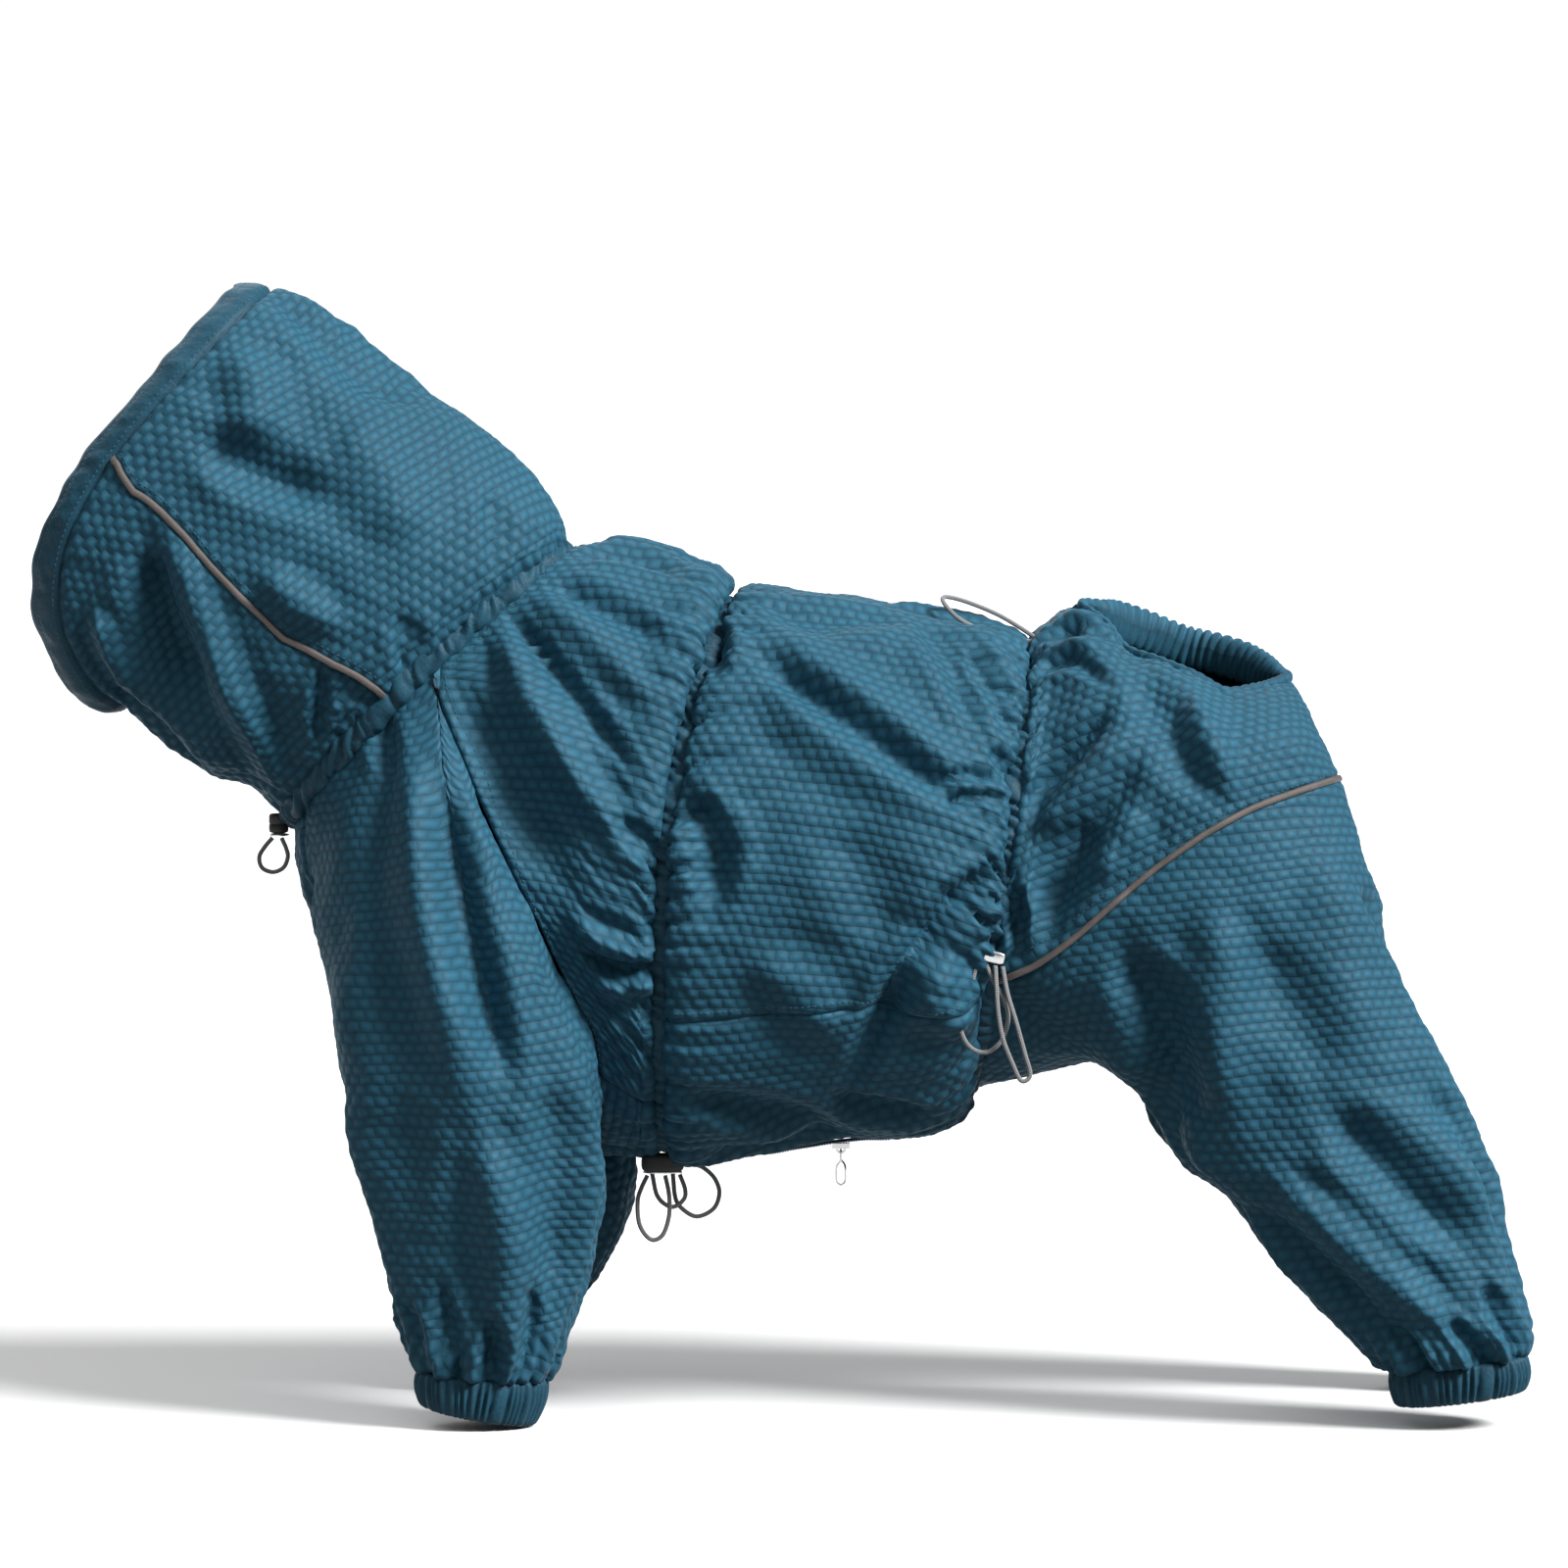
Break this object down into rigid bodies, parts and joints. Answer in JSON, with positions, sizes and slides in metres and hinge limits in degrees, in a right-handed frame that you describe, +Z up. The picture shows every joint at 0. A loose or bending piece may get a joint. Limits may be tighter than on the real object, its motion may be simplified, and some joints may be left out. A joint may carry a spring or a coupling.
{
  "type": "dog jacket",
  "caption": "Hooded four-legged rain suit for a dog, with ruched drawcord casings, gathered cuffs, belly zip and reflective piping, standing in the wearer's shape.",
  "frame": {"origin": "inner face of the back cloth over the middle of the back, where the wearer's back carries it", "axes": "+X towards the tail, -Y the wearer's left side, +Z up"},
  "size_m": [0.8224, 0.2565, 0.6322],
  "materials": {
    "cloth": "puckered teal blue rain cloth with a soft sheen",
    "casing_cloth": "the same cloth gathered on cord or elastic",
    "reflective": "grey-brown reflective piping",
    "zip_tape": "dark woven zip tape",
    "metal": "bright silver metal",
    "black_plastic": "black moulded plastic",
    "cord": "grey elastic cord"
  },
  "bodies": {
    "garment": {"back_cord": "cord", "body_back": "cloth", "body_belly": "cloth", "chest_back": "cloth", "chest_bib": "cloth", "chest_casing": "casing_cloth", "chest_cord_front": "cord", "chest_cord_middle": "cord", "chest_cord_rear": "cord", "chest_lock": "black_plastic", "front_cuff_left": "casing_cloth", "front_cuff_right": "casing_cloth", "front_sleeve_left": "cloth", "front_sleeve_right": "cloth", "hind_cuff_left": "casing_cloth", "hind_cuff_right": "casing_cloth", "hind_sleeve_left": "cloth", "hind_sleeve_right": "cloth", "hood_brim": "cloth", "hood_crown": "cloth", "hood_piping_left": "reflective", "hood_piping_right": "reflective", "hood_throat": "cloth", "neck_casing": "casing_cloth", "neck_cord": "cord", "neck_lock": "black_plastic", "neck_lock_ring": "metal", "rump_left": "cloth", "rump_piping_left": "reflective", "rump_piping_right": "reflective", "rump_right": "cloth", "tail_band": "casing_cloth", "waist_casing": "casing_cloth", "waist_cord_front": "cord", "waist_cord_rear": "cord", "waist_lock": "metal", "zip_slider": "metal", "zip_tape": "zip_tape"},
    "zip_pull": {"zip_pull": "metal"}
  },
  "joints": [
    {"name": "zip_pull_swing", "type": "hinge", "parent": "garment", "child": "zip_pull", "pos_m": [-0.012, 0, -0.30822], "axis": [0, 1, 0], "range_deg": [-75, 75]}
  ]
}
